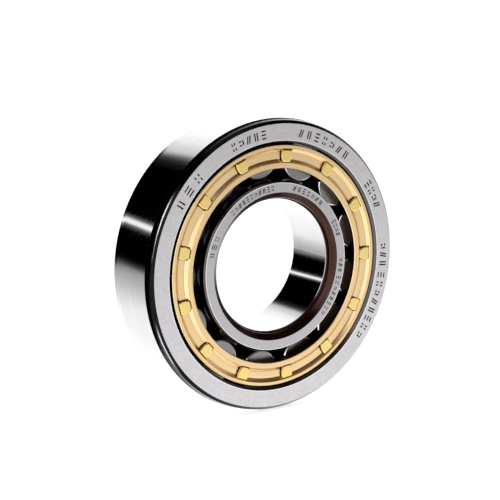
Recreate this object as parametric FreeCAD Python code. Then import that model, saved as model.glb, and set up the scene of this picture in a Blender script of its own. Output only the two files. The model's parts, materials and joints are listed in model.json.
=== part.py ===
import FreeCAD, Part
import math
import os

# Cylindrical roller bearing for a 50 mm shaft.
# The outer ring has a flange at each side of its raceway and the inner ring is plain.
# The cage is two pieces of machined brass, a comb and a cover, closed by riveted bar ends.
# Frame: the axis is Y, the marked front side looks towards -Y, +Z is up, and the origin is
# the centre of the bearing. An outline is drawn as (radius, y) and turned about the Y axis.

# ---- driving dimensions, mm ----
BORE_D = 50.0
OUTSIDE_D = 110.0
WIDTH = 27.0
INNER_RACEWAY_D = 65.0
ROLLER_D = 16.0
ROLLER_LENGTH = 18.0
ROLLER_COUNT = 13
RADIAL_CLEARANCE = 0.075        # on diameter, the looser-than-normal class
FLANGE_BORE_D = 92.1
FLANGE_CLEARANCE = 0.03         # roller end to flange, each side

# ---- ring corners: how much of the face and of the wall each one takes ----
FACE_Y = WIDTH / 2
OUTSIDE_CORNER_RADIAL = 1.7
OUTSIDE_CORNER_AXIAL = 3.9
OUTSIDE_CHAMFER = (1.15, 1.2)
OUTSIDE_BLEND_BULGE = 0.10
BORE_CORNER_RADIAL = 2.86
BORE_CORNER_AXIAL = 3.5
BORE_CHAMFER = (2.16, 1.9)
BORE_BLEND_BULGE = 0.15
FLANGE_EDGE_CHAMFER = 0.95
FLANGE_INNER_CHAMFER = 0.3
RELIEF_DEPTH = 0.35             # grinding relief beside the outer raceway
RELIEF_WIDTH = 0.9
LEAD_IN_RADIAL = 0.5            # taper that lets the rollers ride up on the inner raceway
LEAD_IN_AXIAL = 2.6
INNER_EDGE_RADIAL = 0.55
INNER_EDGE_AXIAL = 0.75

# ---- cage ----
CAGE_BORE_D = 73.2
CAGE_OUTSIDE_D = 90.8
CAGE_WIDTH = 26.1
CAGE_EDGE = 0.22
POCKET_CLEARANCE = 0.10         # roller to pocket wall, radial
POCKET_END_CLEARANCE = 0.15     # roller end to pocket end
GROOVE_OUTER_R = 44.05          # where the groove breaks the cover's front face
GROOVE_INNER_R = 38.70
GROOVE_FLOOR_OUTER_R = 42.7     # where its sloping walls meet the flat floor
GROOVE_FLOOR_INNER_R = 40.0
GROOVE_WALL_HOLLOW = 0.08       # how far the middle of a sloping wall is hollowed
GROOVE_DEPTH = 1.05
BACK_GROOVE_DEPTH = 0.4

# ---- rivets: the ends of the cage bars ----
CAGE_PHASE_DEG = 0.17           # angle of the first rivet from +X towards +Z
RIVET_HEAD_OUTER_R = 43.5
RIVET_HEAD_INNER_R = 38.9
RIVET_HEAD_HALF_TOP = 2.2
RIVET_HEAD_HALF_MID = 2.38
RIVET_HEAD_HALF_LOW = 1.9
RIVET_HEAD_HALF_FOOT = 0.95
RIVET_HEAD_SEAT_DEPTH = 1.45    # below the cover's front face
# The head's rounded rim: how far each outline is set in, and its depth below the face.
RIVET_HEAD_RIM = ((0.0, 0.38), (0.11, 0.11), (0.34, 0.0))
RIVET_RECESS_GAP = 0.22
SHANK_OUTER_R = 43.2
SHANK_INNER_R = 39.2
SHANK_HALF_TOP = 1.95
SHANK_HALF_FOOT = 1.25
SHANK_HOLE_GAP = 0.02

# ---- rollers ----
ROLLER_CORNER = 0.7

# ---- marks sunk into the front faces ----
MARK_DEPTH = 0.12
OUTER_MARK_R = 50.0
OUTER_MARK_HEIGHT = 3.2
OUTER_MARK_WIDTH = 1.9
OUTER_MARK_STROKE = 0.54
INNER_MARK_R = 29.6
INNER_MARK_HEIGHT = 1.95
INNER_MARK_WIDTH = 1.15
INNER_MARK_STROKE = 0.37
WIDE_MARK_SCALE = 1.55
# The strokes of each kind of mark, from point to point in half widths and half heights.
MARK_KINDS = (
    # three dashes
    (((-1.0, 0.85), (1.0, 0.85)), ((-1.0, 0.0), (1.0, 0.0)), ((-1.0, -0.85), (1.0, -0.85))),
    # two slanting strokes
    (((-0.9, -0.9), (-0.1, 0.9)), ((0.1, -0.9), (0.9, 0.9))),
    # four ticks in a square
    (((-0.6, 0.3), (-0.6, 0.95)), ((0.6, 0.3), (0.6, 0.95)),
     ((-0.6, -0.95), (-0.6, -0.3)), ((0.6, -0.95), (0.6, -0.3))),
    # two upright bars
    (((-0.55, -0.95), (-0.55, 0.95)), ((0.55, -0.95), (0.55, 0.95))),
    # two dashes beside a short bar
    (((-1.0, 0.45), (0.1, 0.45)), ((-1.0, -0.45), (0.1, -0.45)), ((0.8, -0.6), (0.8, 0.6))),
)
# Each row of marks: angle of its first mark, angle from mark to mark, number of marks, and
# whether they are the wide ones. A row runs clockwise as the front face is looked at.
OUTER_MARK_ROWS = (
    (32.4, 3.55, 4, False),
    (77.5, 4.375, 7, False),
    (112.25, 3.85, 5, False),
    (146.5, 6.6, 3, True),
    (2.25, 3.9, 3, False),
    (349.25, 4.04, 8, False),
)
INNER_MARK_ROWS = (
    (28.5, 3.5, 4, False),
    (74.5, 4.43, 7, False),
    (131.0, 3.725, 11, False),
    (165.0, 6.0, 3, True),
    (358.25, 3.9, 3, False),
    (345.0, 4.07, 8, False),
)

# ---- worked-out dimensions ----
INNER_RACEWAY_R = INNER_RACEWAY_D / 2
OUTER_RACEWAY_R = INNER_RACEWAY_R + ROLLER_D + RADIAL_CLEARANCE / 2
PITCH_R = (INNER_RACEWAY_R + OUTER_RACEWAY_R) / 2
FLANGE_Y = ROLLER_LENGTH / 2 + FLANGE_CLEARANCE
POCKET_END_Y = ROLLER_LENGTH / 2 + POCKET_END_CLEARANCE
CAGE_FACE_Y = CAGE_WIDTH / 2
ROLLER_STEP_DEG = 360.0 / ROLLER_COUNT

AXIS = FreeCAD.Vector(0, 1, 0)
CENTRE = FreeCAD.Vector(0, 0, 0)


def section_point(point):
    """A (radius, y) pair as a point of the XY plane."""
    return FreeCAD.Vector(point[0], point[1], 0)


def closed_outline(points, to_vector):
    """Wire through the points in turn and back to the first, closed by a line if it is open.

    A point held as (middle, end) is reached by an arc through the middle.
    """
    edges = []
    start = points[0]
    for step in points[1:]:
        if isinstance(step[0], tuple):
            middle, end = step
            arc = Part.Arc(to_vector(start), to_vector(middle), to_vector(end))
            edges.append(arc.toShape())
        else:
            end = step
            edges.append(Part.makeLine(to_vector(start), to_vector(end)))
        start = end
    if start != points[0]:
        edges.append(Part.makeLine(to_vector(start), to_vector(points[0])))
    return Part.Wire(edges)


def turned(points):
    """Solid made by turning a closed (radius, y) outline about the Y axis."""
    face = Part.Face(closed_outline(points, section_point))
    return face.revolve(CENTRE, AXIS, 360)


def bulged(start, end, bulge):
    """Middle point of an arc that leaves the straight line to its left by bulge."""
    run_r = end[0] - start[0]
    run_y = end[1] - start[1]
    length = math.hypot(run_r, run_y)
    return (
        (start[0] + end[0]) / 2 - bulge * run_y / length,
        (start[1] + end[1]) / 2 + bulge * run_r / length,
    )


def mirrored(points):
    """The same open path on the other side of the middle plane, run backwards."""
    path = []
    middle = None
    for step in reversed(points):
        is_arc = isinstance(step[0], tuple)
        radius, y = step[1] if is_arc else step
        path.append((middle, (radius, -y)) if middle else (radius, -y))
        middle = (step[0][0], -step[0][1]) if is_arc else None
    return path


def corner(wall_r, inward, radial, axial, chamfer):
    """Three points of a ring corner at +Y: on the wall, at the chamfer's foot, on the face."""
    on_wall = (wall_r, FACE_Y - axial)
    on_face = (wall_r + inward * radial, FACE_Y)
    foot = (on_face[0] - inward * chamfer[0], FACE_Y - chamfer[1])
    return on_wall, foot, on_face


def placed_at(shape, angle_deg):
    """A shape drawn around the +Z direction, turned about Y to an angle from +X."""
    copy = shape.copy()
    copy.rotate(CENTRE, AXIS, 90.0 - angle_deg)
    return copy


def block(points, y_from, y_to):
    """Prism from y_from to y_to over an outline of (across, radius) points around +Z."""
    def to_vector(point):
        return FreeCAD.Vector(point[0], y_from, point[1])
    face = Part.Face(closed_outline(points, to_vector))
    return face.extrude(FreeCAD.Vector(0, y_to - y_from, 0))


# ---- marks ----

def stroke_outline(start, end, stroke):
    """Rectangle of one stroke, centred on the line from start to end."""
    run_x = end[0] - start[0]
    run_z = end[1] - start[1]
    length = math.hypot(run_x, run_z)
    side_x = -run_z / length * stroke / 2
    side_z = run_x / length * stroke / 2
    return [
        (start[0] - side_x, start[1] - side_z),
        (end[0] - side_x, end[1] - side_z),
        (end[0] + side_x, end[1] + side_z),
        (start[0] + side_x, start[1] + side_z),
    ]


def mark_cutters(rows, radius, width, height, stroke):
    """All the small prisms that sink one ring's rows of marks into its front face."""
    cutters = []
    for row_number, (first_angle, step, count, wide) in enumerate(rows):
        half_width = width / 2 * (WIDE_MARK_SCALE if wide else 1)
        half_height = height / 2

        def on_ring(point):
            return (point[0] * half_width, radius + point[1] * half_height)

        for index in range(count):
            for start, end in MARK_KINDS[(row_number + 2 * index) % len(MARK_KINDS)]:
                outline = stroke_outline(on_ring(start), on_ring(end), stroke)
                cutter = block(outline, -FACE_Y - MARK_DEPTH, -FACE_Y + MARK_DEPTH)
                cutters.append(placed_at(cutter, first_angle - index * step))
    return cutters


# ---- rings ----

def outer_ring():
    on_wall, foot, on_face = corner(
        OUTSIDE_D / 2, -1, OUTSIDE_CORNER_RADIAL, OUTSIDE_CORNER_AXIAL, OUTSIDE_CHAMFER)
    flange_r = FLANGE_BORE_D / 2
    relief_r = OUTER_RACEWAY_R + RELIEF_DEPTH
    half = [
        on_wall,
        (bulged(foot, on_wall, -OUTSIDE_BLEND_BULGE), foot),
        on_face,
        (flange_r + FLANGE_EDGE_CHAMFER, FACE_Y),
        (flange_r, FACE_Y - FLANGE_EDGE_CHAMFER),
        (flange_r, FLANGE_Y + FLANGE_INNER_CHAMFER),
        (flange_r + FLANGE_INNER_CHAMFER, FLANGE_Y),
        (relief_r, FLANGE_Y),
        (relief_r, FLANGE_Y - RELIEF_WIDTH / 2),
        (OUTER_RACEWAY_R, FLANGE_Y - RELIEF_WIDTH),
    ]
    ring = turned(half + mirrored(half))
    return ring.cut(mark_cutters(
        OUTER_MARK_ROWS, OUTER_MARK_R, OUTER_MARK_WIDTH, OUTER_MARK_HEIGHT, OUTER_MARK_STROKE))


def inner_ring():
    on_wall, foot, on_face = corner(
        BORE_D / 2, 1, BORE_CORNER_RADIAL, BORE_CORNER_AXIAL, BORE_CHAMFER)
    lead_in_r = INNER_RACEWAY_R - LEAD_IN_RADIAL
    half = [
        on_wall,
        (bulged(foot, on_wall, BORE_BLEND_BULGE), foot),
        on_face,
        (lead_in_r - INNER_EDGE_RADIAL, FACE_Y),
        (lead_in_r, FACE_Y - INNER_EDGE_AXIAL),
        (INNER_RACEWAY_R, FACE_Y - LEAD_IN_AXIAL),
    ]
    ring = turned(half + mirrored(half))
    return ring.cut(mark_cutters(
        INNER_MARK_ROWS, INNER_MARK_R, INNER_MARK_WIDTH, INNER_MARK_HEIGHT, INNER_MARK_STROKE))


# ---- cage ----

def cage_blank(plain_y, bevelled_y):
    """Plain brass ring between two planes, with bevelled edges at the second one."""
    outer_r = CAGE_OUTSIDE_D / 2
    inner_r = CAGE_BORE_D / 2
    below_bevel_y = bevelled_y + math.copysign(CAGE_EDGE, plain_y - bevelled_y)
    return turned([
        (inner_r, plain_y),
        (outer_r, plain_y),
        (outer_r, below_bevel_y),
        (outer_r - CAGE_EDGE, bevelled_y),
        (inner_r + CAGE_EDGE, bevelled_y),
        (inner_r, below_bevel_y),
    ])


def groove(face_y, depth, inward):
    """Turned groove with sloping walls, sunk from face_y along inward (+1 is towards +Y)."""
    floor_y = face_y + inward * depth
    outside_y = face_y - inward * depth
    inner_edge = (GROOVE_INNER_R, face_y)
    inner_foot = (GROOVE_FLOOR_INNER_R, floor_y)
    outer_foot = (GROOVE_FLOOR_OUTER_R, floor_y)
    outer_edge = (GROOVE_OUTER_R, face_y)
    hollow = inward * GROOVE_WALL_HOLLOW
    return turned([
        inner_edge,
        (bulged(inner_edge, inner_foot, hollow), inner_foot),
        outer_foot,
        (bulged(outer_foot, outer_edge, hollow), outer_edge),
        (GROOVE_OUTER_R, outside_y),
        (GROOVE_INNER_R, outside_y),
    ])


def rivet_head_outline(grow):
    """Outline of a rivet head, wider away from the axis, grown by grow on every side."""
    top_r = RIVET_HEAD_OUTER_R + grow
    foot_r = RIVET_HEAD_INNER_R - grow
    mid_r = (RIVET_HEAD_OUTER_R + RIVET_HEAD_INNER_R) / 2
    low_r = foot_r + (mid_r - foot_r) * 0.3
    knee_r = foot_r + (low_r - foot_r) * 0.28
    top = RIVET_HEAD_HALF_TOP + grow
    mid = RIVET_HEAD_HALF_MID + grow
    low = RIVET_HEAD_HALF_LOW + grow
    foot = RIVET_HEAD_HALF_FOOT + grow / 2
    knee = low - (low - foot) * 0.3
    return [
        (-top, top_r),
        (top, top_r),
        ((mid, mid_r), (low, low_r)),
        ((knee, knee_r), (foot, foot_r)),
        (-foot, foot_r),
        ((-knee, knee_r), (-low, low_r)),
        ((-mid, mid_r), (-top, top_r)),
    ]


def shank_outline(grow):
    """Wedge-shaped section of a bar's end where it passes through the cover."""
    return [
        (-SHANK_HALF_FOOT - grow, SHANK_INNER_R - grow),
        (SHANK_HALF_FOOT + grow, SHANK_INNER_R - grow),
        (SHANK_HALF_TOP + grow, SHANK_OUTER_R + grow),
        (-SHANK_HALF_TOP - grow, SHANK_OUTER_R + grow),
    ]


def rivet():
    """One rivet around +Z: a shank out of the bar's end and a head seated in the cover."""
    def outline_at(grow, y):
        return closed_outline(
            rivet_head_outline(grow), lambda point: FreeCAD.Vector(point[0], y, point[1]))
    seat_y = -CAGE_FACE_Y + RIVET_HEAD_SEAT_DEPTH
    rim_y = -CAGE_FACE_Y + RIVET_HEAD_RIM[0][1]
    shank = block(shank_outline(0), -POCKET_END_Y, seat_y)
    layers = [block(rivet_head_outline(0), seat_y, rim_y)]
    for lower, upper in zip(RIVET_HEAD_RIM, RIVET_HEAD_RIM[1:]):
        outlines = [outline_at(-inset, -CAGE_FACE_Y + depth) for inset, depth in (lower, upper)]
        layers.append(Part.makeLoft(outlines, True, True))
    return shank.fuse(layers)


def rivet_angles():
    return [CAGE_PHASE_DEG + index * ROLLER_STEP_DEG for index in range(ROLLER_COUNT)]


def roller_angles():
    return [angle + ROLLER_STEP_DEG / 2 for angle in rivet_angles()]


def cage_body():
    """Comb: a closed back ring with thirteen bars, each ending in a rivet."""
    comb = cage_blank(-POCKET_END_Y, CAGE_FACE_Y)
    comb = comb.cut(groove(CAGE_FACE_Y, BACK_GROOVE_DEPTH, -1))
    pocket_r = ROLLER_D / 2 + POCKET_CLEARANCE
    pocket = Part.makeCylinder(
        pocket_r, 3 * POCKET_END_Y, FreeCAD.Vector(0, -2 * POCKET_END_Y, PITCH_R), AXIS)
    comb = comb.cut([placed_at(pocket, angle) for angle in roller_angles()])
    comb = comb.fuse([placed_at(rivet(), angle) for angle in rivet_angles()])
    return comb.removeSplitter()


def cage_cover():
    """Front ring with a groove, pierced by a stepped window for each rivet."""
    cover = cage_blank(-POCKET_END_Y, -CAGE_FACE_Y)
    cover = cover.cut(groove(-CAGE_FACE_Y, GROOVE_DEPTH, 1))
    seat_y = -CAGE_FACE_Y + RIVET_HEAD_SEAT_DEPTH
    recess = block(rivet_head_outline(RIVET_RECESS_GAP), seat_y, -CAGE_FACE_Y - 1)
    hole = block(shank_outline(SHANK_HOLE_GAP), -CAGE_FACE_Y, 0)
    windows = [placed_at(recess, angle) for angle in rivet_angles()]
    windows += [placed_at(hole, angle) for angle in rivet_angles()]
    return cover.cut(windows)


# ---- rollers ----

def roller():
    """One roller around +Z at the pitch radius, with rounded ends."""
    radius = ROLLER_D / 2
    end_y = ROLLER_LENGTH / 2
    round_in = ROLLER_CORNER * (1 - math.sqrt(0.5))
    half = [
        (0, end_y),
        (radius - ROLLER_CORNER, end_y),
        ((radius - round_in, end_y - round_in), (radius, end_y - ROLLER_CORNER)),
    ]
    body = turned(half + mirrored(half))
    body.translate(FreeCAD.Vector(0, 0, PITCH_R))
    return body


def main():
    os.makedirs("parts", exist_ok=True)
    shapes = {
        "outer_ring": outer_ring(),
        "inner_ring": inner_ring(),
        "cage_body": cage_body(),
        "cage_cover": cage_cover(),
    }
    for number, angle in enumerate(roller_angles(), start=1):
        shapes["roller_%02d" % number] = placed_at(roller(), angle)
    for name, shape in shapes.items():
        shape.exportStep("parts/%s.step" % name)
        print(name, "valid", shape.isValid(), "solids", len(shape.Solids),
              "volume %.1f" % shape.Volume)


main()
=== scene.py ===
"""Looks of the cylindrical roller bearing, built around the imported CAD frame."""

import json
import math

import bmesh
import bpy
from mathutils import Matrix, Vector

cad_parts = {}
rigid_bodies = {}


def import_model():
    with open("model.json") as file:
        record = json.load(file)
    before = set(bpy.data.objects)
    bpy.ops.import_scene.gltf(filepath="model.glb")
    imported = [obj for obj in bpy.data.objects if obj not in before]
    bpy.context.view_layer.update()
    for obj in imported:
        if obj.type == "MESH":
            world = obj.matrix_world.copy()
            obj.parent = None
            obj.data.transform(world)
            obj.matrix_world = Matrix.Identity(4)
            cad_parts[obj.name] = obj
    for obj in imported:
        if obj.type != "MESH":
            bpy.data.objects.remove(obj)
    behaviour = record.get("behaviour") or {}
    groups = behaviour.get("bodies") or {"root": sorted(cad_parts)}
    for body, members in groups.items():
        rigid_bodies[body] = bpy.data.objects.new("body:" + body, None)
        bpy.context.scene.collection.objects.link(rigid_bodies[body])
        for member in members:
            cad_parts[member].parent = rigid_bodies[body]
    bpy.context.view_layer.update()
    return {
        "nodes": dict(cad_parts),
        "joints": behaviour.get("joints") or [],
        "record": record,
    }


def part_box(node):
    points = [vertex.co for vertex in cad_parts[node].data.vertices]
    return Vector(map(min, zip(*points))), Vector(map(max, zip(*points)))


for leftover in list(bpy.data.objects):
    bpy.data.objects.remove(leftover)

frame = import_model()

MM = 0.001

# ---- sizes worked out from the frame, mm ----
outer_low, outer_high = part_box("outer_ring")
inner_low, inner_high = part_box("inner_ring")
cover_low, cover_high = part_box("cage_cover")
body_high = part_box("cage_body")[1]
roller_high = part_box("roller_01")[1]
OUTSIDE_R = (outer_high[0] - outer_low[0]) / 2 / MM
FACE_Y = (outer_high[1] - outer_low[1]) / 2 / MM
INNER_R = (inner_high[0] - inner_low[0]) / 2 / MM
CAGE_OUTSIDE_R = (cover_high[0] - cover_low[0]) / 2 / MM
CAGE_FACE_Y = body_high[1] / MM
ROLLER_END_Y = roller_high[1] / MM
FLOOR_Z = outer_low[2]
ROLLER_JOINTS = [j for j in frame["joints"] if j["child"].startswith("roller_")]
FIRST_PIN = ROLLER_JOINTS[0]["pos_m"]
ROLLER_COUNT = len(ROLLER_JOINTS)
PITCH_R = math.hypot(FIRST_PIN[0], FIRST_PIN[2]) / MM
STEP = 2 * math.pi / ROLLER_COUNT
FIRST_ROLLER = math.atan2(FIRST_PIN[2], FIRST_PIN[0])
SEATS = {mount["name"]: mount["dims"] for mount in frame["record"]["mounts"]}
BORE_R = SEATS["shaft_seat"]["r_mm"]
BORE_WALL_Y = SEATS["shaft_seat"]["length_mm"] / 2
OUTSIDE_WALL_Y = SEATS["housing_seat"]["length_mm"] / 2

# ---- where the materials change, mm; a pair is a band of radius unless it says otherwise ----
OUTSIDE_CORNER = 1.7            # how much of the face the outside corner takes
BORE_CORNER = 2.86
EDGE_SOFT = 0.02
MARK_ROWS = ((28.3, 30.9), (48.0, 52.0))
MARK_DEPTHS = (0.03, 0.2)       # below the face
# The next pair is where a painted highlight runs along the face edges.
EDGE_HIGHLIGHT_RINGS = ((31.25, 31.6), (46.9, 47.22))
INSIDE_RINGS = (INNER_R - 1.2, 46.98)
INNER_FACE_REACH = (35.0, 40.0)
# The next two give where a painted highlight sits on the outside corner.
CORNER_HIGHLIGHT_TURNS = ((2.58, 2.92), (-2.80, -2.52))   # radians about the axis
CORNER_HIGHLIGHT_Y = (-12.62, -12.28)
ROLLER_CORNER = 0.7
CAGE_BORE_R = 36.6
RIVET_HEADS = (38.7, 43.7)
RIVET_HALF_WIDTH = 2.5
RIVET_RIM_DEPTHS = (0.38, 0.55)                 # below the cage's face, and so are the next two
RIVET_SEAT_DEPTHS = (1.4, 2.0)
CAGE_SHADE_DEPTHS = (1.2, 1.6)
GROOVE_FEET = ((39.92, 40.10), (42.62, 42.80))
GROOVE_EDGES = ((38.62, 38.74), (44.00, 44.12))

# ---- relief of the tool marks: height in metres and strength ----
STEEL_RELIEF = (0.000004, 0.35)
BRASS_RELIEF = (0.000010, 0.45)


class Graph:
    """Builds a node tree from short calls. A value is a number, a tuple or a socket."""

    def __init__(self, tree):
        self.tree = tree
        tree.nodes.clear()

    def node(self, kind, **settings):
        made = self.tree.nodes.new(kind)
        for name, value in settings.items():
            setattr(made, name, value)
        return made

    def put(self, socket, value):
        if value is None:
            return
        if isinstance(value, bpy.types.NodeSocket):
            self.tree.links.new(value, socket)
        elif isinstance(value, tuple) and len(value) == 3 and socket.type == "RGBA":
            socket.default_value = (*value, 1.0)
        else:
            socket.default_value = value

    def math(self, op, a, b=None, c=None):
        made = self.node("ShaderNodeMath", operation=op)
        for socket, value in zip(made.inputs, (a, b, c)):
            self.put(socket, value)
        return made.outputs[0]

    def add(self, a, b):
        return self.math("ADD", a, b)

    def sub(self, a, b):
        return self.math("SUBTRACT", a, b)

    def mul(self, a, b):
        return self.math("MULTIPLY", a, b)

    def step(self, value, low, high):
        """0 below low, 1 above high, smooth between them; low may be above high."""
        made = self.node("ShaderNodeMapRange", interpolation_type="SMOOTHSTEP")
        self.put(made.inputs["Value"], value)
        flipped = low > high
        made.inputs["From Min"].default_value = min(low, high)
        made.inputs["From Max"].default_value = max(low, high)
        made.inputs["To Min"].default_value = 1.0 if flipped else 0.0
        made.inputs["To Max"].default_value = 0.0 if flipped else 1.0
        return made.outputs[0]

    def scale(self, value, low, high):
        """Spreads a 0..1 value over low..high."""
        return self.math("MULTIPLY_ADD", value, high - low, low)

    def mix(self, factor, a, b):
        """Colour a where the factor is 0, colour b where it is 1."""
        made = self.node("ShaderNodeMix", data_type="RGBA")
        self.put(made.inputs[0], factor)
        self.put(made.inputs[6], a)
        self.put(made.inputs[7], b)
        return made.outputs[2]

    def mix_add(self, a, b):
        """Sum of two colours."""
        made = self.node("ShaderNodeMix", data_type="RGBA", blend_type="ADD")
        made.inputs[0].default_value = 1.0
        self.put(made.inputs[6], a)
        self.put(made.inputs[7], b)
        return made.outputs[2]

    def blend(self, factor, a, b):
        """The same as mix, for plain values."""
        made = self.node("ShaderNodeMix", data_type="FLOAT")
        self.put(made.inputs[0], factor)
        self.put(made.inputs[2], a)
        self.put(made.inputs[3], b)
        return made.outputs[0]

    def ramp(self, factor, stops):
        """Grey level read off stops of (place, level)."""
        made = self.node("ShaderNodeValToRGB")
        ramp = made.color_ramp
        while len(ramp.elements) > 1:
            ramp.elements.remove(ramp.elements[-1])
        ramp.elements[0].position = stops[0][0]
        ramp.elements[0].color = (*[stops[0][1]] * 3, 1.0)
        for place, level in stops[1:]:
            ramp.elements.new(place).color = (*[level] * 3, 1.0)
        self.put(made.inputs[0], factor)
        return made.outputs[0]

    def combine(self, x, y, z):
        made = self.node("ShaderNodeCombineXYZ")
        for socket, value in zip(made.inputs, (x, y, z)):
            self.put(socket, value)
        return made.outputs[0]

    def separate(self, vector):
        made = self.node("ShaderNodeSeparateXYZ")
        self.put(made.inputs[0], vector)
        return made.outputs

    def noise(self, vector, scale, detail, roughness=0.5):
        made = self.node("ShaderNodeTexNoise")
        self.put(made.inputs["Vector"], vector)
        made.inputs["Scale"].default_value = scale
        made.inputs["Detail"].default_value = detail
        made.inputs["Roughness"].default_value = roughness
        return made.outputs["Fac"]

    def bump(self, height, distance, strength):
        made = self.node("ShaderNodeBump")
        made.inputs["Strength"].default_value = strength
        made.inputs["Distance"].default_value = distance
        self.put(made.inputs["Height"], height)
        return made.outputs[0]

    def both(self, a, b):
        """Mask of where two masks meet."""
        return self.math("MULTIPLY", a, b)

    def either(self, *masks):
        """Mask of where any of the masks is, or the brightest of several levels."""
        most = masks[0]
        for mask in masks[1:]:
            most = self.math("MAXIMUM", most, mask)
        return most


def polar(graph):
    """Object position in mm as (radius, y, angle about the axis, x, z)."""
    where = graph.node("ShaderNodeTexCoord").outputs["Object"]
    x, y, z = graph.separate(where)
    x = graph.mul(x, 1 / MM)
    y = graph.mul(y, 1 / MM)
    z = graph.mul(z, 1 / MM)
    squares = graph.add(graph.mul(x, x), graph.mul(z, z))
    return graph.math("SQRT", squares), y, graph.math("ARCTAN2", z, x), x, z


def band(graph, value, low, high, soft):
    """1 where value lies between low and high, with soft edges."""
    return graph.both(
        graph.step(value, low - soft, low + soft), graph.step(value, high + soft, high - soft))


def bands(graph, value, pairs, soft):
    """1 where value lies in any of the pairs."""
    return graph.either(*[band(graph, value, low, high, soft) for low, high in pairs])


def lines_round(graph, across, per_mm, angle, per_radian, third, detail, roughness=0.5):
    """Noise drawn out round the axis, as turning and grinding leave it."""
    place = graph.combine(graph.mul(across, per_mm), graph.mul(angle, per_radian), third)
    return graph.noise(place, 1.0, detail, roughness)


def shader(graph, color, roughness, normal, metallic=1.0):
    made = graph.node("ShaderNodeBsdfPrincipled")
    graph.put(made.inputs["Base Color"], color)
    graph.put(made.inputs["Roughness"], roughness)
    graph.put(made.inputs["Metallic"], metallic)
    graph.put(made.inputs["Normal"], normal)
    out = graph.node("ShaderNodeOutputMaterial")
    graph.tree.links.new(made.outputs[0], out.inputs[0])
    return made


def new_material(name):
    material = bpy.data.materials.new(name)
    material.use_nodes = True
    return material, Graph(material.node_tree)


# ---- ring steel: a pair of tones or of roughnesses is where a noise is low and where it is high ----
WALL_TONES = ((0.60, 0.585, 0.60), (0.70, 0.69, 0.70))
WALL_LINE_TONE = (0.36, 0.34, 0.36)
FACE_TONES = ((0.46, 0.45, 0.465), (0.62, 0.605, 0.625))
FACE_LINE_TONE = (0.70, 0.685, 0.70)
FACE_SMUDGE_TONE = (0.40, 0.39, 0.40)
INNER_FACE_TONE = (0.30, 0.29, 0.30)
BLACK_TONES = ((0.003, 0.003, 0.004), (0.014, 0.014, 0.017))
CORNER_HIGHLIGHT_TONE = (0.66, 0.66, 0.68)
BROWN_TONES = ((0.020, 0.010, 0.009), (0.085, 0.042, 0.035))
INSIDE_SHADE_TONES = ((0.05, 0.045, 0.045), (0.12, 0.11, 0.11))
EDGE_HIGHLIGHT_TONE = (0.85, 0.84, 0.85)
MARK_TONE = (0.012, 0.012, 0.012)
WALL_ROUGHNESS = (0.04, 0.17)
FACE_ROUGHNESS = (0.24, 0.40)
OILY_ROUGHNESS = (0.12, 0.30)
MARK_ROUGHNESS = 0.7


def ring_corners(graph, radius, y, depth):
    """Masks of the dark turned corners at the front: the outside one and the bore's."""
    off_face = graph.step(depth, FACE_Y, FACE_Y - 0.03)
    front = graph.both(off_face, graph.step(y, 1.0, -1.0))
    rim_r = OUTSIDE_R - OUTSIDE_CORNER
    bore_r = BORE_R + BORE_CORNER
    outside = graph.both(
        graph.step(radius, rim_r - EDGE_SOFT, rim_r + EDGE_SOFT),
        graph.step(depth, OUTSIDE_WALL_Y - 0.1, OUTSIDE_WALL_Y + 0.1))
    bore = graph.both(
        graph.step(radius, bore_r + EDGE_SOFT, bore_r - EDGE_SOFT),
        graph.step(depth, BORE_WALL_Y - 0.1, BORE_WALL_Y + 0.3))
    return graph.both(outside, front), graph.both(bore, front)


def satin_face(graph, radius, face_line, grain, smudge):
    """Colour of the ground side faces. The inner ring's is darker."""
    satin = graph.mix(graph.step(grain, 0.30, 0.70), *FACE_TONES)
    bright = graph.mul(graph.step(face_line, 0.35, 0.75), 0.45)
    satin = graph.mix(bright, satin, FACE_LINE_TONE)
    smudged = graph.mul(graph.step(smudge, 0.5, 0.8), 0.25)
    satin = graph.mix(smudged, satin, FACE_SMUDGE_TONE)
    near, far = INNER_FACE_REACH
    inner = graph.mul(graph.step(radius, far, near), 0.45)
    return graph.mix(inner, satin, INNER_FACE_TONE)


def black_corner(graph, radius, y, angle, smudge):
    """Colour of the outside corner. A painted highlight brightens its foot in two places."""
    black = graph.mix(smudge, *BLACK_TONES)
    # Painted highlight at two fixed turns about the axis, broken into streaks.
    corner_highlight = graph.both(
        bands(graph, angle, CORNER_HIGHLIGHT_TURNS, 0.10), band(graph, y, *CORNER_HIGHLIGHT_Y, 0.06))
    highlight_streaks = lines_round(graph, y, 9.0, angle, 7.0, radius, 3, 0.6)
    corner_highlight = graph.both(corner_highlight, graph.step(highlight_streaks, 0.42, 0.56))
    return graph.mix(corner_highlight, black, CORNER_HIGHLIGHT_TONE)


def brown_corner(graph, radius, y, angle):
    """Colour of the bore's corner, in fine turned streaks."""
    streak = lines_round(graph, y, 14.0, angle, 1.6, radius, 3)
    return graph.mix(graph.step(streak, 0.35, 0.75), *BROWN_TONES)


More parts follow.
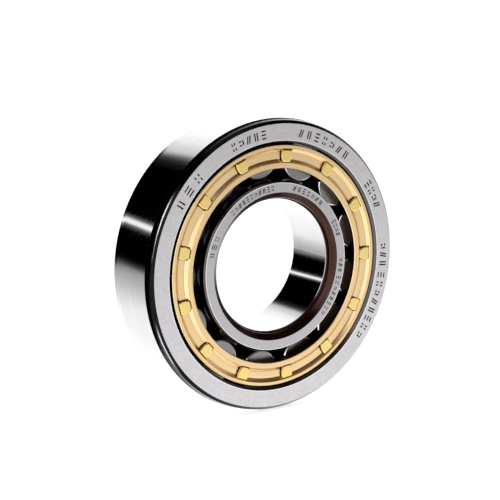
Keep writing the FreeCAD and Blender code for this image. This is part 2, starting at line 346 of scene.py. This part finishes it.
def ring_steel(name):
    material, graph = new_material(name)
    radius, y, angle, x, z = polar(graph)
    depth = graph.math("ABSOLUTE", y)
    # Where each kind of surface is.
    face = graph.step(depth, FACE_Y - 0.05, FACE_Y - 0.02)
    shallow, deep = MARK_DEPTHS
    sunk = band(graph, depth, FACE_Y - deep, FACE_Y - shallow, 0.01)
    mark = graph.both(sunk, bands(graph, radius, MARK_ROWS, 0.05))
    outside_corner, bore_corner = ring_corners(graph, radius, y, depth)
    inside = graph.both(
        band(graph, radius, *INSIDE_RINGS, 0.02), graph.step(depth, FACE_Y - 0.01, FACE_Y - 0.04))
    # Painted highlight: a bright band along the face edges at these radii.
    edge_highlight = graph.both(face, bands(graph, radius, EDGE_HIGHLIGHT_RINGS, 0.06))
    # Fine grinding lines differ along y on the walls, and along the radius on the faces.
    wall_line = lines_round(graph, y, 9.0, angle, 2.2, radius, 4)
    face_line = lines_round(graph, radius, 7.0, angle, 9.0, y, 4)
    place = graph.combine(x, y, z)
    grain = graph.noise(place, 2.4, 5, 0.7)
    cloud = graph.noise(place, 0.09, 3, 0.55)
    smudge = graph.noise(place, 0.35, 4, 0.6)
    # Colour: neutral steel, darker on the turned corners, and darker inside between the rings with
    # painted shade.
    wall = graph.mix(cloud, *WALL_TONES)
    wall = graph.mix(graph.mul(graph.step(wall_line, 0.40, 0.62), 0.22), wall, WALL_LINE_TONE)
    tone = graph.mix(face, wall, satin_face(graph, radius, face_line, grain, smudge))
    tone = graph.mix(outside_corner, tone, black_corner(graph, radius, y, angle, smudge))
    tone = graph.mix(bore_corner, tone, brown_corner(graph, radius, y, angle))
    # Painted shade on the surfaces inside, between the rings.
    tone = graph.mix(inside, tone, graph.mix(smudge, *INSIDE_SHADE_TONES))
    # Painted highlight along the face edges.
    tone = graph.mix(edge_highlight, tone, EDGE_HIGHLIGHT_TONE)
    tone = graph.mix(mark, tone, MARK_TONE)
    # Finish: polished walls, satin faces, dull marks.
    rough_wall = graph.scale(graph.mul(smudge, wall_line), *WALL_ROUGHNESS)
    rough_face = graph.add(graph.mul(face_line, 0.5), graph.mul(cloud, 0.5))
    rough = graph.blend(face, rough_wall, graph.scale(rough_face, *FACE_ROUGHNESS))
    oily_rough = graph.scale(smudge, *OILY_ROUGHNESS)
    rough = graph.blend(graph.either(bore_corner, inside), rough, oily_rough)
    rough = graph.blend(mark, rough, MARK_ROUGHNESS)
    lines = graph.blend(face, wall_line, face_line)
    relief = graph.add(lines, graph.mul(grain, graph.blend(face, 0.08, 0.4)))
    relief = graph.mul(relief, graph.blend(face, 0.5, 1.0))
    shader(graph, tone, rough, graph.bump(relief, *STEEL_RELIEF))
    return material


# ---- rollers ----
ROLLER_SIDE_SHADE_TONES = ((0.075, 0.07, 0.07), (0.13, 0.125, 0.125))
ROLLER_END_TONES = ((0.16, 0.155, 0.16), (0.24, 0.235, 0.24))
ROLLER_LINE_TONE = (0.30, 0.29, 0.30)
ROLLER_CORNER_HIGHLIGHT_TONE = (0.80, 0.79, 0.80)
ROLLER_SIDE_ROUGHNESS = (0.08, 0.2)
ROLLER_END_ROUGHNESS = (0.2, 0.38)


def roller_steel(name):
    material, graph = new_material(name)
    _, y, angle, x, z = polar(graph)
    depth = graph.math("ABSOLUTE", y)
    # The centre of the roller that this point belongs to, and the distance from it.
    turns = graph.mul(graph.sub(angle, FIRST_ROLLER), 1 / STEP)
    own = graph.math("MULTIPLY_ADD", graph.math("ROUND", turns), STEP, FIRST_ROLLER)
    across = graph.sub(x, graph.mul(graph.math("COSINE", own), PITCH_R))
    along = graph.sub(z, graph.mul(graph.math("SINE", own), PITCH_R))
    reach = graph.math("SQRT", graph.add(graph.mul(across, across), graph.mul(along, along)))
    end = graph.step(depth, ROLLER_END_Y - 0.04, ROLLER_END_Y - 0.01)
    corner_y = ROLLER_END_Y - ROLLER_CORNER
    corner = graph.both(
        graph.step(depth, corner_y - EDGE_SOFT, corner_y + 0.08), graph.sub(1.0, end))
    # Turning lines go round each roller's own centre.
    end_line = graph.noise(graph.combine(graph.mul(reach, 6.0), own, y), 1.0, 4)
    side_line = graph.noise(graph.combine(graph.mul(y, 8.0), own, 0.0), 1.0, 4)
    smudge = graph.noise(graph.combine(x, y, z), 0.4, 4, 0.6)
    lines = graph.blend(end, side_line, end_line)
    # Colour: sides darkened with painted shade, dull grey ends, and rounded corners brightened with a
    # painted highlight.
    # Painted shade on the sides, which stand in the gap between the rings.
    side_shade_tone = graph.mix(smudge, *ROLLER_SIDE_SHADE_TONES)
    end_tone = graph.mix(smudge, *ROLLER_END_TONES)
    end_tone = graph.mix(graph.mul(lines, 0.4), end_tone, ROLLER_LINE_TONE)
    tone = graph.mix(end, side_shade_tone, end_tone)
    # Painted highlight on the rounded corners.
    tone = graph.mix(corner, tone, ROLLER_CORNER_HIGHLIGHT_TONE)
    rough_side = graph.scale(smudge, *ROLLER_SIDE_ROUGHNESS)
    rough = graph.blend(end, rough_side, graph.scale(lines, *ROLLER_END_ROUGHNESS))
    shader(graph, tone, rough, graph.bump(lines, *STEEL_RELIEF))
    return material


# ---- cage ----
BRASS_TONES = ((0.77, 0.555, 0.29), (0.84, 0.64, 0.37))
BRASS_LINE_TONE = (0.57, 0.385, 0.175)
GROOVE_SHADE_TONE = (0.30, 0.165, 0.06)
CAGE_INSIDE_SHADE_TONE = (0.065, 0.032, 0.015)
HEAD_TONES = ((0.71, 0.52, 0.17), (0.86, 0.66, 0.26))
HEAD_SIDE_SHADE_TONE = (0.10, 0.05, 0.02)
BRASS_ROUGHNESS = (0.22, 0.40)
HEAD_ROUGHNESS = (0.22, 0.36)


def rivet_head(graph, radius, y, angle):
    """Masks of the rivet heads, which stand between the rollers, and of the heads' sides, which carry
    painted shade.
    """
    turns = graph.mul(graph.sub(angle, FIRST_ROLLER - STEP / 2), 1 / STEP)
    off = graph.mul(graph.sub(turns, graph.math("ROUND", turns)), STEP)
    sideways = graph.math("ABSOLUTE", graph.mul(radius, graph.math("SINE", off)))
    head = graph.both(
        graph.step(sideways, RIVET_HALF_WIDTH + 0.05, RIVET_HALF_WIDTH - 0.05),
        band(graph, radius, *RIVET_HEADS, 0.06))
    shallow, deep = RIVET_SEAT_DEPTHS
    head = graph.both(head, graph.step(y, deep - CAGE_FACE_Y, shallow - CAGE_FACE_Y))
    shallow, deep = RIVET_RIM_DEPTHS
    # The heads' sides below the rim carry painted shade.
    side = graph.both(head, graph.step(y, shallow - CAGE_FACE_Y, deep - CAGE_FACE_Y))
    return head, side


def cage_inside_shade(graph, radius, depth):
    """Mask of painted shade on the cage's inside and rims, away from its two end faces."""
    shallow, deep = CAGE_SHADE_DEPTHS
    inside = graph.step(depth, CAGE_FACE_Y - shallow, CAGE_FACE_Y - deep)
    rim = graph.either(
        graph.step(radius, CAGE_BORE_R + 0.1, CAGE_BORE_R + 0.02),
        graph.step(radius, CAGE_OUTSIDE_R - 0.1, CAGE_OUTSIDE_R - 0.02))
    below_face = graph.step(depth, CAGE_FACE_Y - 0.2, CAGE_FACE_Y - 0.4)
    return graph.either(inside, graph.both(rim, below_face))


def cage_brass(name):
    material, graph = new_material(name)
    radius, y, angle, x, z = polar(graph)
    depth = graph.math("ABSOLUTE", y)
    head, head_side_shade = rivet_head(graph, radius, y, angle)
    place = graph.combine(x, y, z)
    coarse = lines_round(graph, radius, 4.0, angle, 0.8, y, 3)
    fine = lines_round(graph, radius, 15.0, angle, 1.5, y, 3)
    turning = graph.add(graph.mul(coarse, 0.55), graph.mul(fine, 0.45))
    broad = graph.noise(place, 0.12, 3, 0.55)
    grain = graph.noise(place, 3.0, 4, 0.6)
    brass = graph.mix(broad, *BRASS_TONES)
    line = graph.mul(graph.step(turning, 0.38, 0.66), 0.55)
    brass = graph.mix(line, brass, BRASS_LINE_TONE)
    # Painted shade lies in the feet of the groove's walls and thinly along its edges, in patches.
    groove_shade = graph.either(
        bands(graph, radius, GROOVE_FEET, 0.06),
        graph.mul(bands(graph, radius, GROOVE_EDGES, 0.04), 0.8))
    groove_shade = graph.mul(graph.both(groove_shade, graph.step(broad, 0.25, 0.5)), 0.6)
    brass = graph.mix(groove_shade, brass, GROOVE_SHADE_TONE)
    # Painted shade on the cage's inside and rims.
    tone = graph.mix(cage_inside_shade(graph, radius, depth), brass, CAGE_INSIDE_SHADE_TONE)
    # The upset heads are brighter and yellower. Their sides, down in the recesses, are darkened with
    # painted shade.
    tone = graph.mix(head, tone, graph.mix(graph.step(grain, 0.3, 0.7), *HEAD_TONES))
    tone = graph.mix(head_side_shade, tone, HEAD_SIDE_SHADE_TONE)
    rough = graph.add(graph.mul(turning, 0.6), graph.mul(grain, 0.4))
    rough = graph.scale(rough, *BRASS_ROUGHNESS)
    rough = graph.blend(head, rough, graph.scale(grain, *HEAD_ROUGHNESS))
    dimple = graph.mul(graph.noise(place, 1.1, 4, 0.6), graph.mul(head, 3.0))
    relief = graph.add(graph.add(turning, graph.mul(grain, 0.3)), dimple)
    shader(graph, tone, rough, graph.bump(relief, *BRASS_RELIEF))
    return material


# ---- view ----
VIEW_TURN = math.radians(-34.716)
VIEW_LIFT = math.radians(12.225)
VIEW_BACK = (
    math.sin(VIEW_TURN) * math.cos(VIEW_LIFT),
    -math.cos(VIEW_TURN) * math.cos(VIEW_LIFT),
    math.sin(VIEW_LIFT))
VIEW_WAY = tuple(-part for part in VIEW_BACK)
VIEW_DISTANCE = 0.7271
SENSOR = 36.0
LENS = 139.4
SHIFT_X = -0.01234
SHIFT_Y = 0.0208
NEAREST = 0.01

# ---- studio ----
# Brightness of what the ground walls mirror, by direction about the axis: (degrees, level).
BACK_BANDS = (
    (0, 1.60), (58, 1.58), (70, 1.47), (76, 1.37), (80, 1.25), (85, 1.05), (89, 0.98),
    (92, 0.72), (95, 0.28), (98, 0.06), (102, 0.015), (108, 0.0), (153.5, 0.0), (156.2, 0.25),
    (157.8, 1.5), (160.2, 1.5), (161.8, 0.20), (165, 0.0), (188, 0.0), (191, 0.02), (194, 0.14),
    (197, 0.45), (200, 0.58), (212, 0.86), (218, 1.02), (224, 1.22), (229, 1.34),
    (240, 1.40), (285, 1.52), (310, 1.60), (360, 1.60))
BACK_FROM = (0.62, 0.74)        # how far back along y the bands take over from the panels
FAN_FROM = (0.86, 0.90)         # and the fan from the bands
FAN_OFFSET = 159.0              # degrees from where the bands start to where the fan does
TABLE_LEVELS = (1.25, 1.62)     # at the left and at the right
OVERHEAD_LEVEL = 0.9
RIGHT_LEVEL = 0.9
LEFT_LEVEL = 1.75
FLAGGED = 0.04                  # what the flag leaves of the table
ROOM_DARK = (0.045, 0.045, 0.048)
ROOM_WARM = (0.120, 0.055, 0.024)
FLOOR_RADIUS = 6.0
FLOOR_CORNERS = 96
FLOOR_TONES = ((0.86, 0.86, 0.86), (0.90, 0.90, 0.90))
FLOOR_ROUGHNESS = 0.8
FLOOR_GLOW = 0.75
NORMAL_WEIGHT = 80


def back_wall(graph, x, y, z):
    """The bands behind the bearing, which its ground walls mirror."""
    turn = graph.math("FRACT", graph.mul(graph.math("ARCTAN2", z, x), 0.5 / math.pi))
    stops = [(degrees / 360, level) for degrees, level in BACK_BANDS]
    ring = graph.ramp(turn, stops)
    # Straight behind, the bands fan out from the point that the camera looks towards.
    fan = graph.math("ARCTAN2", graph.sub(z, VIEW_WAY[2]), graph.sub(x, VIEW_WAY[0]))
    fan = graph.math("FRACT", graph.math("MULTIPLY_ADD", fan, 1 / math.pi, -FAN_OFFSET / 360))
    return graph.mix(graph.step(y, *FAN_FROM), ring, graph.ramp(fan, stops))


def panels(graph, x, y, z):
    """A pale table below and soft panels overhead, at the right and at the left front.

    Each fades in over a range of the direction's x, y or z, which run from -1 to 1.
    """
    tilt = graph.scale(graph.step(x, -0.80, 0.65), *TABLE_LEVELS)
    table = graph.mul(graph.step(z, 0.05, -0.32), tilt)
    # A flag keeps the table's light off the front corner.
    flag = graph.both(graph.step(x, -0.28, -0.48), graph.step(y, -0.05, 0.25))
    table = graph.mul(table, graph.scale(flag, 1.0, FLAGGED))
    above = graph.mul(graph.step(z, 0.86, 0.96), OVERHEAD_LEVEL)
    right = graph.both(graph.step(x, 0.55, 0.9), graph.step(z, 0.6, 0.2))
    right = graph.mul(right, RIGHT_LEVEL)
    left = graph.both(graph.step(x, -0.22, -0.36), graph.step(z, 0.74, 0.60))
    left = graph.mul(graph.both(left, graph.step(y, 0.10, -0.15)), LEFT_LEVEL)
    return graph.either(table, above, right, left)


def studio_world():
    world = bpy.data.worlds.new("studio")
    world.use_nodes = True
    graph = Graph(world.node_tree)
    way = graph.node("ShaderNodeTexCoord").outputs["Generated"]
    x, y, z = graph.separate(way)
    around = panels(graph, x, y, z)
    # What the panels leave of the room is dark, and warm behind the camera.
    unlit = graph.step(around, 0.40, 0.05)
    room = graph.mix(graph.step(y, -0.15, -0.35), ROOM_DARK, ROOM_WARM)
    room = graph.mix(unlit, (0.0, 0.0, 0.0), room)
    around = graph.mix_add(around, room)
    level = graph.mix(graph.step(y, *BACK_FROM), around, back_wall(graph, x, y, z))
    # The camera itself sees plain white.
    seen = graph.node("ShaderNodeLightPath").outputs["Is Camera Ray"]
    color = graph.mix(seen, level, (1.0, 1.0, 1.0))
    background = graph.node("ShaderNodeBackground")
    graph.put(background.inputs["Color"], color)
    out = graph.node("ShaderNodeOutputWorld")
    graph.tree.links.new(background.outputs[0], out.inputs[0])
    bpy.context.scene.world = world


def floor():
    mesh = bpy.data.meshes.new("floor")
    shape = bmesh.new()
    bmesh.ops.create_circle(shape, cap_ends=True, segments=FLOOR_CORNERS, radius=FLOOR_RADIUS)
    shape.to_mesh(mesh)
    shape.free()
    plane = bpy.data.objects.new("floor", mesh)
    bpy.context.collection.objects.link(plane)
    plane.location.z = FLOOR_Z
    plane.visible_glossy = False
    material, graph = new_material("pale_floor")
    where = graph.node("ShaderNodeTexCoord").outputs["Object"]
    tone = graph.mix(graph.noise(where, 8.0, 3), *FLOOR_TONES)
    made = shader(graph, tone, FLOOR_ROUGHNESS, None, metallic=0.0)
    made.inputs["Emission Color"].default_value = (1, 1, 1, 1)
    made.inputs["Emission Strength"].default_value = FLOOR_GLOW
    plane.data.materials.append(material)


def camera():
    data = bpy.data.cameras.new("camera")
    data.sensor_width = SENSOR
    data.lens = LENS
    data.shift_x = SHIFT_X
    data.shift_y = SHIFT_Y
    data.clip_start = NEAREST
    holder = bpy.data.objects.new("camera", data)
    bpy.context.collection.objects.link(holder)
    back = Vector(VIEW_BACK)
    holder.location = back * VIEW_DISTANCE
    holder.rotation_euler = (-back).to_track_quat("-Z", "Y").to_euler()
    bpy.context.scene.camera = holder


def dress(node, material):
    """Gives a CAD node its material and clean shading normals."""
    made = frame["nodes"][node]
    for slot in made.material_slots:
        slot.material = material
    weighted = made.modifiers.new("normals", "WEIGHTED_NORMAL")
    weighted.mode = "FACE_AREA"
    weighted.weight = NORMAL_WEIGHT
    weighted.keep_sharp = True


# ---- dressing ----
rings = ring_steel("ring_steel_ground")
rollers = roller_steel("roller_steel_ground")
brass = cage_brass("cage_brass_turned")
for name in ("outer_ring", "inner_ring"):
    dress(name, rings)
for name in ("cage_body", "cage_cover"):
    dress(name, brass)
for number in range(1, ROLLER_COUNT + 1):
    dress("roller_%02d" % number, rollers)

studio_world()
floor()
camera()
bpy.context.scene.view_settings.view_transform = "Standard"
